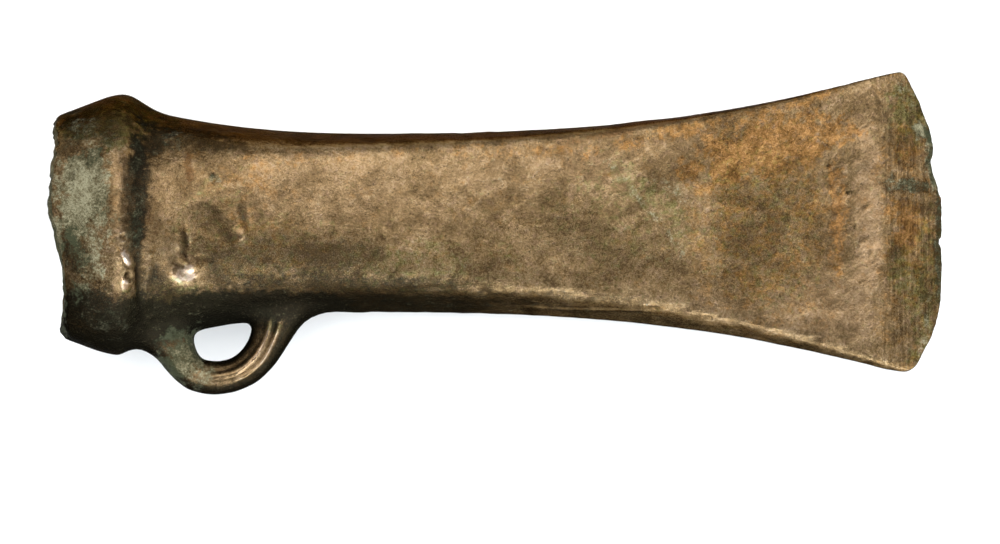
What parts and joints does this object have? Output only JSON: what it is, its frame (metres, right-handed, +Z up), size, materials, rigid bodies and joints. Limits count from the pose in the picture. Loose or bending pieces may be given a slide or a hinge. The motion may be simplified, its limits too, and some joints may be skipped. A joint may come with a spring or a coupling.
{
  "type": "socketed axe head",
  "caption": "Cast bronze socketed axe head: a wedge that widens to a curved cutting edge, with a moulded mouth for the haft and a side loop for a lashing.",
  "frame": {"origin": "centre of the plan outline, on the surface that the head lies on", "axes": "+X towards the cutting edge, +Y away from the side loop, +Z up; the head lies on one broad face, so its own axis falls 7.6 degrees towards +X"},
  "size_m": [0.1332, 0.0486, 0.0334],
  "materials": {
    "bronze": "brown patina, worn satin"
  },
  "bodies": {
    "root": {"axe_head": "bronze"}
  },
  "joints": []
}
